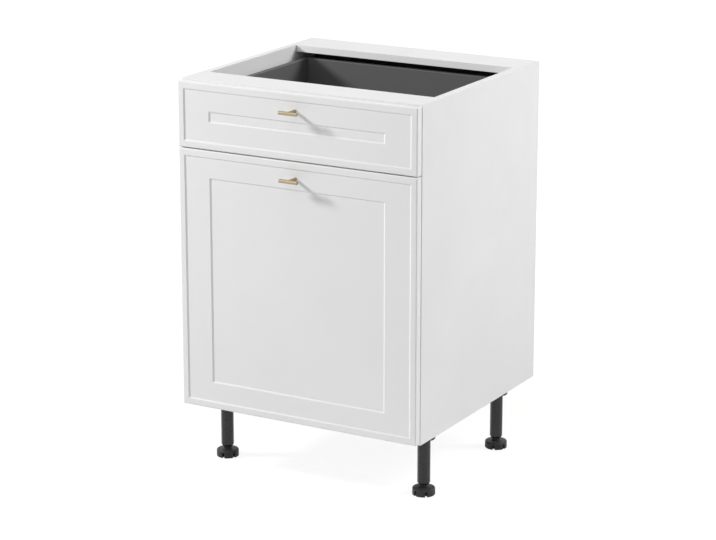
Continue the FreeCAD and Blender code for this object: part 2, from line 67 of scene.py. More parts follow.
def camel(node):
    words = node.split("_")
    return words[0] + "".join(word.capitalize() for word in words[1:])


def addObject(name, data):
    thing = bpy.data.objects.new(name, data)
    scene.collection.objects.link(thing)
    return thing


def meshPiece(name, bm):
    mesh = bpy.data.meshes.new(name)
    bm.to_mesh(mesh)
    bm.free()
    return addObject(name, mesh)


def newPiece(name, bm):  # welded, with its faces turned outwards
    bmesh.ops.remove_doubles(bm, verts=bm.verts, dist=shading["weld"])
    bmesh.ops.recalc_face_normals(bm, faces=bm.faces)
    return meshPiece(name, bm)


def removePiece(piece):
    mesh = piece.data
    bpy.data.objects.remove(piece)
    bpy.data.meshes.remove(mesh)


def joinPieces(name, *parts):
    bm = bmesh.new()
    for part in parts:
        bm.from_mesh(part.data)
        removePiece(part)
    return meshPiece(name, bm)


def settle(piece):  # modifiers become plain mesh
    depsgraph = bpy.context.evaluated_depsgraph_get()
    plain = bpy.data.meshes.new_from_object(piece.evaluated_get(depsgraph), depsgraph=depsgraph)
    worn = piece.data
    piece.modifiers.clear()
    piece.data = plain
    bpy.data.meshes.remove(worn)
    plain.name = piece.name


def finishEdges(piece, width=0.0):  # eased edges and even shading on the flats
    if width:
        bevel = piece.modifiers.new("easedEdges", "BEVEL")
        bevel.width = width
        bevel.segments = shading["bevelSteps"]
        bevel.limit_method = "ANGLE"
        bevel.angle_limit = shading["bevelFrom"]
        settle(piece)
    for face in piece.data.polygons:
        face.use_smooth = True
    piece.data.set_sharp_from_angle(angle=shading["sharpFrom"])
    piece.modifiers.new("evenShading", "WEIGHTED_NORMAL").keep_sharp = True
    settle(piece)
    return piece


def roundedPath(points, radii, steps=4, closed=False):  # arcs at the corners of a 2-D line
    path = []
    for i, point in enumerate(points):
        corner = Vector(point)
        radius = radii[i] if isinstance(radii, (list, tuple)) else radii
        if not radius or (not closed and i in (0, len(points) - 1)):
            path.append(corner)
            continue
        before = (Vector(points[i - 1]) - corner).normalized()
        after = (Vector(points[(i + 1) % len(points)]) - corner).normalized()
        half = before.angle(after) / 2
        centre = corner + (before + after).normalized() * (radius / math.sin(half))
        start = corner + before * (radius / math.tan(half)) - centre
        end = corner + after * (radius / math.tan(half)) - centre
        path += [centre + start.slerp(end, s / steps).normalized() * radius for s in range(steps + 1)]
    return path


def rectangle(left, bottom, right, top):
    return [(left, bottom), (right, bottom), (right, top), (left, top)]


def rodProfile(radius, half, ease=0, steps=3):  # a round bar, for addTurned
    corners = [(0, -half), (radius, -half), (radius, half), (0, half)]
    return roundedPath(corners, [0, ease, ease, 0], steps)


def channelOutline(web, tip, low, high, fold):  # a C section: its web, and its flanges' tips
    flange, bend, tight, rim = (fold[key] for key in ("flange", "bend", "insideBend", "rim"))
    inner = web + math.copysign(fold["sheet"], tip - web)
    corners = [(web, low), (tip, low), (tip, low + flange), (inner, low + flange),
               (inner, high - flange), (tip, high - flange), (tip, high), (web, high)]
    return roundedPath(corners, [bend, rim, rim, tight, tight, rim, rim, bend], closed=True)


def uprightAxis(low, high, z=0):
    return Vector(((low.x + high.x) / 2, (low.y + high.y) / 2, z))


axisTurns = {
    "x": Matrix.Rotation(math.radians(90), 4, "Y"),
    "y": Matrix.Rotation(math.radians(-90), 4, "X"),
    "z": Matrix.Identity(4),
}
outlinePlane = {"x": (1, 2), "y": (0, 2), "z": (0, 1)}


def addTurned(bm, profile, axis, centre, turnSides=40):  # profile holds (radius, distance along the axis)
    stand = Matrix.Translation(centre) @ axisTurns[axis]
    rings = []
    for radius, along in profile:
        count = turnSides if radius > 0 else 1
        turns = [math.tau * i / turnSides for i in range(count)]
        spots = [Vector((radius * math.cos(a), radius * math.sin(a), along)) for a in turns]
        rings.append([bm.verts.new(stand @ spot) for spot in spots])
    for first, second in zip(rings, rings[1:]):
        for i in range(turnSides):
            j = i + 1
            corners = (first[i % len(first)], first[j % len(first)],
                       second[j % len(second)], second[i % len(second)])
            bm.faces.new(list(dict.fromkeys(corners)))  # a pole leaves a triangle


def addExtruded(bm, outline, axis, start, end):
    along = "xyz".index(axis)
    across, up = outlinePlane[axis]
    rings = []
    for level in (start, end):
        ring = []
        for a, b in outline:
            spot = Vector()
            spot[along], spot[across], spot[up] = level, a, b
            ring.append(bm.verts.new(spot))
        rings.append(ring)
        bm.faces.new(ring)
    for i in range(len(outline)):
        j = (i + 1) % len(outline)
        bm.faces.new((rings[0][i], rings[0][j], rings[1][j], rings[1][i]))


def addBox(bm, low, high):
    addExtruded(bm, rectangle(low.x, low.y, high.x, high.y), "z", low.z, high.z)


def turned(name, profile, axis, centre, turnSides):
    bm = bmesh.new()
    addTurned(bm, profile, axis, centre, turnSides)
    return newPiece(name, bm)


def cutAway(piece, cutters):  # cutters is a filled bmesh
    tool = newPiece(piece.name + "Cutter", cutters)
    cut = piece.modifiers.new("cut", "BOOLEAN")
    cut.operation = "DIFFERENCE"
    cut.solver = "EXACT"
    cut.object = tool
    settle(piece)
    removePiece(tool)


def solidBoxes(node):  # lowest and highest corner of each solid in a CAD node
    bm = bmesh.new()
    bm.from_mesh(cadNodes[node].data)
    bmesh.ops.remove_doubles(bm, verts=bm.verts, dist=shading["weld"])
    unseen = set(bm.verts)
    boxes = []
    while unseen:
        queue = [unseen.pop()]
        spots = []
        while queue:
            vert = queue.pop()
            spots.append(vert.co.copy())
            fresh = {edge.other_vert(vert) for edge in vert.link_edges} & unseen
            unseen -= fresh
            queue += fresh
        low = Vector([min(spot[i] for spot in spots) for i in range(3)])
        high = Vector([max(spot[i] for spot in spots) for i in range(3)])
        boxes.append((low, high))
    bm.free()
    return sorted(boxes, key=lambda pair: tuple(pair[0]))


def seats(node, axis=None):  # each fastener's head face, the way its shank runs, and its length
    places = []
    for low, high in solidBoxes(node):
        centre = (low + high) / 2
        way = Vector(axis) if axis else Vector((math.copysign(1, centre.x), 0, 0))
        reach = abs((high - low).dot(way)) / 2
        places.append((centre - way * reach, way, 2 * reach))
    return places


# Node helpers, for materials and Geometry Nodes alike

def addNode(tree, kind, feeds=None, **settings):
    node = tree.nodes.new(kind)
    for key, value in settings.items():
        setattr(node, key, value)
    for socket, value in (feeds or {}).items():
        if isinstance(value, bpy.types.NodeSocket):
            tree.links.new(value, node.inputs[socket])
        else:
            node.inputs[socket].default_value = value
    return node


def outOf(tree, kind, feeds=None, **settings):  # a new node's first output
    return addNode(tree, kind, feeds, **settings).outputs[0]


def newFinish(name, look):
    finish = bpy.data.materials.new(name)
    finish.use_nodes = True
    tree = finish.node_tree
    shader = tree.nodes["Principled BSDF"]
    for label, value in look["sockets"].items():
        shader.inputs[label].default_value = value
    spot = addNode(tree, "ShaderNodeTexCoord").outputs["Object"]
    return finish, tree, shader, spot


def stretched(tree, spot, scale):
    return outOf(tree, "ShaderNodeMapping", {"Vector": spot, "Scale": scale})


def noise(tree, spot, scale, detail=2.0):
    return outOf(tree, "ShaderNodeTexNoise", {"Vector": spot, "Scale": scale, "Detail": detail})


def grains(tree, spot, scale):  # a level for each grain, and the distance from its middle
    cells = addNode(tree, "ShaderNodeTexVoronoi", {"Vector": spot, "Scale": scale}).outputs
    return outOf(tree, "ShaderNodeSeparateColor", {"Color": cells["Color"]}), cells["Distance"]


def grey(level):
    return level, level, level, 1


def tones(tree, factor, *stops):  # a colour ramp; each stop is (place, grey or colour)
    ramp = addNode(tree, "ShaderNodeValToRGB", {"Fac": factor})
    while len(ramp.color_ramp.elements) < len(stops):
        ramp.color_ramp.elements.new(0.5)
    for element, (stopPlace, tone) in zip(ramp.color_ramp.elements, stops):
        element.position = stopPlace
        element.color = (*tone, 1) if isinstance(tone, tuple) else grey(tone)
    return ramp.outputs[0]


def coat(tree, shader, look, pattern, colour=None):  # colour, and roughness and relief from one pattern
    if colour is not None:
        tree.links.new(colour, shader.inputs["Base Color"])
    if "rough" in look:
        feeds = {"Value": pattern, "From Min": 0.3, "From Max": 0.7,  # where most of a noise lies
                 "To Min": look["smooth"], "To Max": look["rough"]}
        tree.links.new(outOf(tree, "ShaderNodeMapRange", feeds), shader.inputs["Roughness"])
    strength, depth = look["relief"]
    relief = outOf(tree, "ShaderNodeBump", {"Height": pattern, "Strength": strength, "Distance": depth})
    tree.links.new(relief, shader.inputs["Normal"])


# Finishes: sockets are set on the shader as they are, relief is (strength, depth)

melamine = {
    "white": (0.83, 0.83, 0.835), "shade": (0.80, 0.80, 0.805), "cloud": 5, "grain": 1700, "detail": 3.0,
    "bandWidth": 0.8 * mm, "seam": 0.15 * mm, "seamTint": (0.72, 0.71, 0.70, 1),
    "sockets": {"Specular IOR Level": 0.3}, "smooth": 0.50, "rough": 0.62, "relief": (0.12, 0.08 * mm),
}
# A whiter copy of the melamine for the boards' front edges: partly the edge band's own tone, partly painted
# light that brightens these strips
bandHighlightLook = dict(melamine, white=(0.93, 0.93, 0.935), shade=(0.91, 0.91, 0.915))
lacquer = {
    "white": (0.86, 0.86, 0.865), "shade": (0.845, 0.845, 0.85), "cloud": 4, "grain": 420, "detail": 2.0,
    "sockets": {"Specular IOR Level": 0.25}, "smooth": 0.56, "rough": 0.66, "relief": (0.10, 0.06 * mm),
}


def makeWhite(name, look):
    finish, tree, shader, spot = newFinish(name, look)
    colour = tones(tree, noise(tree, spot, look["cloud"], 3), (0.35, look["shade"]), (0.65, look["white"]))
    if "seam" in look:  # hairline behind the edge band
        depth = addNode(tree, "ShaderNodeSeparateXYZ", {"Vector": spot}).outputs["Y"]
        feeds = {0: depth, 1: carcassFrontY + look["bandWidth"], 2: look["seam"]}
        seam = outOf(tree, "ShaderNodeMath", feeds, operation="COMPARE")
        feeds = {0: seam, 6: colour, 7: look["seamTint"]}  # a mix node's factor and its two colours
        colour = addNode(tree, "ShaderNodeMix", feeds, data_type="RGBA", blend_type="MULTIPLY").outputs[2]
    coat(tree, shader, look, noise(tree, spot, look["grain"], look["detail"]), colour)
    return finish


powderCoat = {
    "dark": 0.108, "light": 0.138, "speckle": 1400,
    "sockets": {"Specular IOR Level": 0.35}, "smooth": 0.49, "rough": 0.61, "relief": (0.25, 0.08 * mm),
}
greyBoard = dict(powderCoat, dark=0.060, light=0.078, speckle=700, smooth=0.44, rough=0.56)
# Near-black foil for the back panel's inside: painted shade for the unlit cavity behind the drawers
paintedShadeFoil = dict(powderCoat, dark=0.040, light=0.054, speckle=500, smooth=0.42, rough=0.54)


def makePowderCoat(name, look):
    finish, tree, shader, spot = newFinish(name, look)
    speckle = noise(tree, spot, look["speckle"], 3)
    coat(tree, shader, look, speckle, tones(tree, speckle, (0.35, look["dark"]), (0.68, look["light"])))
    return finish


brass = {
    "pale": (0.46, 0.37, 0.235), "deep": (0.31, 0.245, 0.15), "brushing": 900, "around": 0.06, "along": 4.0,
    "sockets": {"Metallic": 1.0}, "smooth": 0.24, "rough": 0.38, "relief": (0.12, 0.02 * mm),
}


def makeBrass(name, look, axis):  # turned metal, brushed around its axis
    finish, tree, shader, spot = newFinish(name, look)
    scale = [look["around"]] * 3
    scale["xyz".index(axis)] = look["along"]
    lines = noise(tree, stretched(tree, spot, scale), look["brushing"], 4)
    coat(tree, shader, look, lines, tones(tree, lines, (0.3, look["deep"]), (0.62, look["pale"])))
    return finish


blackPlastic = {
    "dark": 0.012, "light": 0.018, "flow": 60, "stretch": (1, 1, 0.25), "grain": 1100,
    "sockets": {"Specular IOR Level": 0.45}, "smooth": 0.22, "rough": 0.32, "relief": (0.10, 0.04 * mm),
}
footPlastic = dict(blackPlastic, dark=0.034, light=0.046, grain=800, smooth=0.36, rough=0.50,
                   sockets={"Specular IOR Level": 0.20})
# A near-black copy for the neck and stem: painted shade under the leg tube
neckShadePlastic = dict(blackPlastic, dark=0.006, light=0.010, grain=1300, smooth=0.35, rough=0.50)
greyPlastic = dict(blackPlastic, dark=0.090, light=0.120, grain=1300, smooth=0.40, rough=0.55)


def makePlastic(name, look):
    finish, tree, shader, spot = newFinish(name, look)
    flow = noise(tree, stretched(tree, spot, look["stretch"]), look["flow"], 3)  # marks of the mould
    colour = tones(tree, flow, (0.32, look["dark"]), (0.68, look["light"]))
    coat(tree, shader, look, noise(tree, spot, look["grain"]), colour)
    return finish


zincSteel = {
    "pale": 0.70, "deep": 0.56, "spangle": 260, "drawn": 300, "stretch": (6, 0.1, 6),
    "sockets": {"Metallic": 1.0}, "smooth": 0.26, "rough": 0.40, "relief": (0.08, 0.03 * mm),
}
zincCasting = dict(zincSteel, pale=0.56, deep=0.42, spangle=520, smooth=0.42, rough=0.58)


def makeZinc(name, look):
    finish, tree, shader, spot = newFinish(name, look)
    colour = tones(tree, grains(tree, spot, look["spangle"])[0], (0.0, look["deep"]), (1.0, look["pale"]))
    drawn = noise(tree, stretched(tree, spot, look["stretch"]), look["drawn"], 3)  # rolling marks
    coat(tree, shader, look, drawn, colour)
    return finish


hardboard = {
    "pale": (0.40, 0.265, 0.155), "deep": (0.27, 0.17, 0.095),
    "fibre": 260, "stretch": (1, 1, 0.4), "detail": 6,
    "sockets": {"Roughness": 0.75, "Specular IOR Level": 0.25}, "relief": (0.35, 0.15 * mm),
}
beech = {
    "pale": (0.62, 0.43, 0.25), "deep": (0.46, 0.30, 0.16),
    "fibre": 900, "stretch": (0.08, 1, 1), "detail": 4,
    "sockets": {"Roughness": 0.6}, "relief": (0.3, 0.1 * mm),
}


def makeFibres(name, look):  # the raw reverse of the back panel, and the dowels
    finish, tree, shader, spot = newFinish(name, look)
    fibre = noise(tree, stretched(tree, spot, look["stretch"]), look["fibre"], look["detail"])
    coat(tree, shader, look, fibre, tones(tree, fibre, (0.3, look["deep"]), (0.7, look["pale"])))
    return finish


chipboard = {
    "pale": (0.56, 0.42, 0.26), "mid": (0.44, 0.31, 0.18), "deep": (0.27, 0.18, 0.10),
    "flake": 420, "stretch": (1, 1, 0.5),
    "sockets": {"Roughness": 0.82, "Specular IOR Level": 0.2}, "relief": (0.5, 0.2 * mm),
}


def makeChipboard(name, look):  # unbanded edges of the boards
    finish, tree, shader, spot = newFinish(name, look)
    level, distance = grains(tree, stretched(tree, spot, look["stretch"]), look["flake"])
    colour = tones(tree, level, (0.0, look["deep"]), (0.45, look["mid"]), (1.0, look["pale"]))
    coat(tree, shader, look, distance, colour)
    return finish


rubber = {
    "sockets": {"Base Color": (0.86, 0.87, 0.88, 1), "Transmission Weight": 0.55, "IOR": 1.45},
    "haze": 600, "smooth": 0.22, "rough": 0.36, "relief": (0.05, 0.03 * mm),
}


def makeRubber(name, look):
    finish, tree, shader, spot = newFinish(name, look)
    coat(tree, shader, look, noise(tree, spot, look["haze"]))
    return finish


carcassFrontY, carcassRearY = (corner.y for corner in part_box("right_side_panel"))
finishes = {
    "white_board": makeWhite("whiteMelamine", melamine),
    "dark_hardboard": makePowderCoat("paintedShadeFoil", paintedShadeFoil),
    "white_lacquer": makeWhite("whiteLacquer", lacquer),
    "anthracite_steel": makePowderCoat("anthracitePowderCoat", powderCoat),
    "grey_board": makePowderCoat("greyMelamine", greyBoard),
    "satin_brass": makeBrass("satinBrassBar", brass, "x"),
    "black_plastic": makePlastic("blackMouldedPlastic", blackPlastic),
    "grey_plastic": makePlastic("greyMouldedPlastic", greyPlastic),
    "zinc_steel": makeZinc("zincPlatedSteel", zincSteel),
    "zinc_casting": makeZinc("dieCastZinc", zincCasting),
    "beech": makeFibres("rawBeech", beech),
    "clear_rubber": makeRubber("clearRubber", rubber),
}
brassPost = makeBrass("satinBrassPost", brass, "y")
mattFoot = makePlastic("mattFootPlastic", footPlastic)
paintedShadeNeck = makePlastic("paintedShadeNeck", neckShadePlastic)
rawHardboard = makeFibres("rawHardboard", hardboard)
rawChipboard = makeChipboard("rawChipboard", chipboard)
stripHighlight = makeWhite("paintedLightEdgeStrip", bandHighlightLook)
print("finishes done")


def wear(piece, *worn):
    piece.data.materials.clear()
    for finish in worn:
        piece.data.materials.append(finish)


def place(piece, slotName, *standsFor, finish=None, moreFinishes=()):
    wear(piece, finish or finishes[slotName], *moreFinishes)
    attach(piece, bodyOf[standsFor[0]])
    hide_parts(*standsFor)


def turnFaces(piece, wanted, index=1):  # another finish for the faces that wanted() picks
    for face in piece.data.polygons:
        if wanted(face.center, face.normal):
            face.material_index = index


# Carcass boards, with drilled joints, cam pockets and the back panel's groove

boards = {
    "edgeRound": 0.7 * mm, "edgeSteps": 3, "backEase": 0.3 * mm, "boreSides": 32,
    "holeClearance": 0.05 * mm, "grooveClearance": 0.1 * mm,
    "rearBand": 0.1 * mm, "facing": 0.9,  # which faces count as a rear or front edge
}


def slab(name, low, high, edgeRound, steps=2):
    bm = bmesh.new()
    addBox(bm, low, high)
    bmesh.ops.bevel(bm, geom=bm.edges[:], offset=edgeRound, segments=steps, profile=0.5, affect="EDGES")
    return newPiece(name, bm)


def addBores(bm, node, axis, within):  # round holes for the CAD solids that reach into a box
    along = "xyz".index(axis)
    across = outlinePlane[axis][0]
    gap = boards["holeClearance"]
    for low, high in solidBoxes(node):
        if any(high[i] < within[0][i] or low[i] > within[1][i] for i in range(3)):
            continue
        half = (high[along] - low[along]) / 2 + gap
        radius = (high[across] - low[across]) / 2 + gap
        addTurned(bm, rodProfile(radius, half), axis, (low + high) / 2, boards["boreSides"])


def rearEdge(centre, normal):
    return normal.y > boards["facing"] and centre.y > carcassRearY - boards["rearBand"]


def makeBoard(node):
    low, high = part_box(node)
    piece = slab(camel(node), low, high, boards["edgeRound"], boards["edgeSteps"])
    cutters = bmesh.new()
    for fitting in ("wood_dowels", "cam_bolts", "runner_screws"):
        addBores(cutters, fitting, "x", (low, high))
    for fitting in ("cam_housings", "leg_plate_screws"):
        addBores(cutters, fitting, "z", (low, high))
    if backHigh.y < high.y:  # boards that reach behind the back panel hold its groove
        gap = Vector((1, 1, 1)) * boards["grooveClearance"]
        addBox(cutters, backLow - gap, backHigh + gap)
    cutAway(piece, cutters)
    finishEdges(piece)
    place(piece, "white_board", node, moreFinishes=(rawChipboard, stripHighlight))
    turnFaces(piece, rearEdge)
    # Front-facing faces take the whiter band finish: partly real edge band, partly painted light
    turnFaces(piece, lambda centre, normal: normal.y < -boards["facing"], 2)


backLow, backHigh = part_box("back_panel")
for board in ("left_side_panel", "right_side_panel", "bottom_panel", "front_top_rail", "rear_top_rail"):
    makeBoard(board)
# The back panel's inside wears the near-black foil, painted shade for the cavity behind the drawers; its rear
# face is raw hardboard
backPanel = finishEdges(slab("backPanel", backLow, backHigh, boards["backEase"]))
place(backPanel, "dark_hardboard", "back_panel", moreFinishes=(rawHardboard,))
turnFaces(backPanel, lambda centre, normal: normal.y > 0.5)
wear(cadNodes["cam_bolts"], finishes["zinc_steel"])
wear(cadNodes["wood_dowels"], finishes["beech"])
print("carcass boards done")

# Fronts: lipped edge, flat frame and sunk panel, lofted through nested rectangles

fronts = {
    "lipWidth": 14.4 * mm, "lipBevel": 3.2 * mm, "lipDepth": 2.2 * mm,
    "stileWidth": 78.4 * mm, "railWidth": 60.9 * mm,
    "panelBevel": 3.2 * mm, "panelDepth": 2.2 * mm, "panelStart": 4.8 * mm,
    "edgeRadius": 3 * mm, "backEdge": 0.2 * mm, "lipRound": 1.0 * mm, "stepRound": 0.7 * mm, "arcSteps": 6,
}


def makeFront(level):
    look = fronts
    low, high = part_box(level + "_front")
    face, back = low.y, high.y
    field = face + look["lipDepth"]
    lip, bevel = look["lipWidth"], look["lipBevel"]
    outer = roundedPath(
        [(lip, back), (0, back), (0, face), (lip, face), (lip + bevel, field), (lip + 2 * bevel, field)],
        [0, look["backEdge"], look["edgeRadius"], look["lipRound"], look["lipRound"], 0], look["arcSteps"])
    panel, bevel = field + look["panelDepth"], look["panelBevel"]
    inner = roundedPath(
        [(-bevel, field), (0, field), (bevel, panel), (look["panelStart"], panel)],
        [0, look["stepRound"], look["stepRound"], 0], look["arcSteps"])
    steps = [(inset, inset, y) for inset, y in outer]
    steps += [(look["stileWidth"] + inset, look["railWidth"] + inset, y) for inset, y in inner]
    bm = bmesh.new()
    rings = []
    for insetX, insetZ, y in steps:
        corners = rectangle(low.x + insetX, low.z + insetZ, high.x - insetX, high.z - insetZ)
        rings.append([bm.verts.new((x, y, z)) for x, z in corners])
    bm.faces.new(rings[0])
    bm.faces.new(rings[-1])
    for first, second in zip(rings, rings[1:]):
        for i in range(4):
            j = (i + 1) % 4
            bm.faces.new((first[i], first[j], second[j], second[i])).smooth = True
            bm.edges.get((first[i], second[i])).smooth = False  # mitred corners stay crisp
    piece = newPiece(level + "Front", bm)
    piece.modifiers.new("evenShading", "WEIGHTED_NORMAL").keep_sharp = True
    settle(piece)
    place(piece, "white_lacquer", level + "_front")


for level in levels:
    makeFront(level)
print("fronts done")

# T-knobs: a turned bar on a turned post

knobs = {"endRound": 0.9 * mm, "endSteps": 5, "seatRound": 0.5 * mm, "seatSteps": 3, "turnSides": 48}


def makeKnob(level):
    look = knobs
    low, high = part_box(level + "_knob_bar")
    centre = (low + high) / 2
    half, radius = (high.x - low.x) / 2, (high.z - low.z) / 2
    path = rodProfile(radius, half, look["endRound"], look["endSteps"])
    bar = turned(level + "KnobBar", path, "x", centre, look["turnSides"])
    place(finishEdges(bar), "satin_brass", level + "_knob_bar")
    postLow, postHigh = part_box(level + "_knob_post")
    postRadius = (postHigh.z - postLow.z) / 2
    length = postHigh.y - centre.y
    path = roundedPath([(0, length), (postRadius, length), (postRadius, radius), (0, radius)],
                       [0, look["seatRound"], 0, 0], look["seatSteps"])
    bm = bmesh.new()
    addTurned(bm, path, "y", centre, look["turnSides"])
    for vert in bm.verts:  # the end that meets the bar is saddle-shaped
        if abs(vert.co.y - centre.y - radius) < shading["weld"]:
            vert.co.y = centre.y + math.sqrt(radius ** 2 - (vert.co.z - centre.z) ** 2)
    post = newPiece(level + "KnobPost", bm)
    place(finishEdges(post), "satin_brass", level + "_knob_post", finish=brassPost)


for level in levels:
    makeKnob(level)
print("knobs done")

# Geometry Nodes trees for what repeats

def growTree(name, floats, wholes=()):  # the labels of its sizes and counts
    tree = bpy.data.node_groups.new(name, "GeometryNodeTree")
    inputs = [("Geometry", "Geometry"), *[(label, "Float") for label in floats]]
    inputs += [*[(label, "Int") for label in wholes], ("Material", "Material")]
    for label, kind in inputs:
        tree.interface.new_socket(label, in_out="INPUT", socket_type="NodeSocket" + kind)
    tree.interface.new_socket("Geometry", in_out="OUTPUT", socket_type="NodeSocketGeometry")
    return tree, addNode(tree, "NodeGroupInput").outputs


def endTree(tree, given, geometry):  # realised and given its finish
    real = outOf(tree, "GeometryNodeRealizeInstances", {"Geometry": geometry})
    dressed = outOf(tree, "GeometryNodeSetMaterial", {"Geometry": real, "Material": given["Material"]})
    addNode(tree, "NodeGroupOutput", {"Geometry": dressed})
    return tree


def runTree(piece, tree, values):
    modifier = piece.modifiers.new(tree.name, "NODES")
    modifier.node_group = tree
    for item in tree.interface.items_tree:
        if item.in_out == "INPUT" and item.name in values:
            modifier[item.identifier] = values[item.name]
    settle(piece)


def vectorOf(tree, x, y, z):
    return outOf(tree, "ShaderNodeCombineXYZ", {"X": x, "Y": y, "Z": z})


def mathOf(tree, operation, first, second):
    return outOf(tree, "ShaderNodeMath", {0: first, 1: second}, operation=operation)


def boolean(tree, operation, first, *others):
    node = addNode(tree, "GeometryNodeMeshBoolean", operation=operation, solver="EXACT")
    if operation == "DIFFERENCE":
        tree.links.new(first, node.inputs["Mesh 1"])
    else:
        others = (first, *others)
    for other in others:
        tree.links.new(other, node.inputs["Mesh 2"])
    return node.outputs["Mesh"]


def raised(tree, geometry, height):
    offset = vectorOf(tree, 0.0, 0.0, height)
    return outOf(tree, "GeometryNodeTransform", {"Geometry": geometry, "Translation": offset})


def onPoints(tree, points, instance, seed=None):  # instances look along each point's axis attribute
    way = outOf(tree, "GeometryNodeInputNamedAttribute", {"Name": "axis"}, data_type="FLOAT_VECTOR")
    turn = outOf(tree, "FunctionNodeAlignRotationToVector", {"Vector": way}, axis="Z")
    if seed is not None:  # each screw stops at its own angle
        angle = addNode(tree, "FunctionNodeRandomValue", {2: 0.0, 3: math.tau}, data_type="FLOAT")
        tree.links.new(seed, angle.inputs["Seed"])
        spin = outOf(tree, "FunctionNodeAxisAngleToRotation", {"Axis": (0, 0, 1), "Angle": angle.outputs[1]})
        turn = outOf(tree, "FunctionNodeRotateRotation", {"Rotation": turn, "Rotate By": spin},
                     rotation_space="LOCAL")
    feeds = {"Points": points, "Instance": instance, "Rotation": turn}
    return outOf(tree, "GeometryNodeInstanceOnPoints", feeds)


def growFastenerTree():
    labels = ("Head Face Radius", "Head Seat Radius", "Head Height", "Shank Radius", "Length",
              "Recess Length", "Recess Width", "Recess Depth")
    tree, given = growTree("crossHeadFasteners", labels, ("Seed",))
    head = outOf(tree, "GeometryNodeMeshCone", {
        "Vertices": 32, "Radius Bottom": given["Head Face Radius"], "Radius Top": given["Head Seat Radius"],
        "Depth": given["Head Height"]})
    shank = outOf(tree, "GeometryNodeMeshCylinder", {
        "Vertices": 20, "Radius": given["Shank Radius"], "Depth": given["Length"]})
    half = mathOf(tree, "MULTIPLY", given["Length"], 0.5)
    body = boolean(tree, "UNION", head, raised(tree, shank, half))
    depth = mathOf(tree, "MULTIPLY", given["Recess Depth"], 2.0)
    arms = []
    for x, y in (("Recess Length", "Recess Width"), ("Recess Width", "Recess Length")):
        size = vectorOf(tree, given[x], given[y], depth)
        arms.append(outOf(tree, "GeometryNodeMeshCube", {"Size": size}))
    cut = boolean(tree, "DIFFERENCE", body, boolean(tree, "UNION", *arms))
    return endTree(tree, given, onPoints(tree, given["Geometry"], cut, given["Seed"]))


def growStudTree():
    tree, given = growTree("roundStuds", ("Radius", "Height", "Floor"))
    ball = outOf(tree, "GeometryNodeMeshUVSphere", {"Segments": 20, "Rings": 10, "Radius": 1.0})
    spot = outOf(tree, "GeometryNodeInputPosition")
    least = vectorOf(tree, -1.0, -1.0, given["Floor"])  # a floor of 0 leaves a dome, -1 a whole ball
    cropped = outOf(tree, "ShaderNodeVectorMath", {0: spot, 1: least}, operation="MAXIMUM")
    size = vectorOf(tree, given["Radius"], given["Radius"], given["Height"])
    shaped = outOf(tree, "ShaderNodeVectorMath", {0: cropped, 1: size}, operation="MULTIPLY")
    stud = outOf(tree, "GeometryNodeSetPosition", {"Geometry": ball, "Position": shaped})
    return endTree(tree, given, onPoints(tree, given["Geometry"], stud))


def growNotchTree():
    labels = ("Foot Radius", "Notch Width", "Notch Depth", "Notch Height", "First Angle")
    tree, given = growTree("notchedFoot", labels, ("Notch Count",))
    ring = outOf(tree, "GeometryNodeMeshCircle", {
        "Vertices": given["Notch Count"], "Radius": given["Foot Radius"]})
    size = vectorOf(tree, mathOf(tree, "MULTIPLY", given["Notch Depth"], 2.0), given["Notch Width"],
                    mathOf(tree, "MULTIPLY", given["Notch Height"], 2.0))
    tooth = outOf(tree, "GeometryNodeMeshCube", {"Size": size})
    spot = outOf(tree, "GeometryNodeInputPosition")
    turn = outOf(tree, "FunctionNodeAlignRotationToVector", {"Vector": spot}, axis="X")
    feeds = {"Points": ring, "Instance": tooth, "Rotation": turn}
    teeth = outOf(tree, "GeometryNodeInstanceOnPoints", feeds)
    spin = vectorOf(tree, 0.0, 0.0, given["First Angle"])
    rotated = outOf(tree, "GeometryNodeTransform", {"Geometry": teeth, "Rotation": spin})
    real = outOf(tree, "GeometryNodeRealizeInstances", {"Geometry": rotated})
    return endTree(tree, given, boolean(tree, "DIFFERENCE", given["Geometry"], real))


def growThreadTree():
    tree, given = growTree("threadedStem", ("Turns", "Start Height", "Length", "Root Radius", "Ridge"))
    helix = outOf(tree, "GeometryNodeCurveSpiral", {
        "Resolution": 24, "Rotations": given["Turns"], "Start Radius": given["Root Radius"],
        "End Radius": given["Root Radius"], "Height": given["Length"]})
    tooth = outOf(tree, "GeometryNodeCurvePrimitiveCircle", {"Resolution": 4, "Radius": given["Ridge"]})
    ridge = outOf(tree, "GeometryNodeCurveToMesh", {
        "Curve": helix, "Profile Curve": tooth, "Fill Caps": True})
    lifted = raised(tree, ridge, given["Start Height"])
    both = addNode(tree, "GeometryNodeJoinGeometry")
    tree.links.new(given["Geometry"], both.inputs[0])
    tree.links.new(lifted, both.inputs[0])
    return endTree(tree, given, both.outputs[0])


fastenerTree = growFastenerTree()
studTree = growStudTree()
notchTree = growNotchTree()
threadTree = growThreadTree()


def pointPiece(name, places):  # bare points that carry the way each instance looks
    mesh = bpy.data.meshes.new(name)
    mesh.from_pydata([spot for spot, way, length in places], [], [])
    axis = mesh.attributes.new("axis", "FLOAT_VECTOR", "POINT")
    for item, (spot, way, length) in zip(axis.data, places):
        item.vector = way
    return addObject(name, mesh)


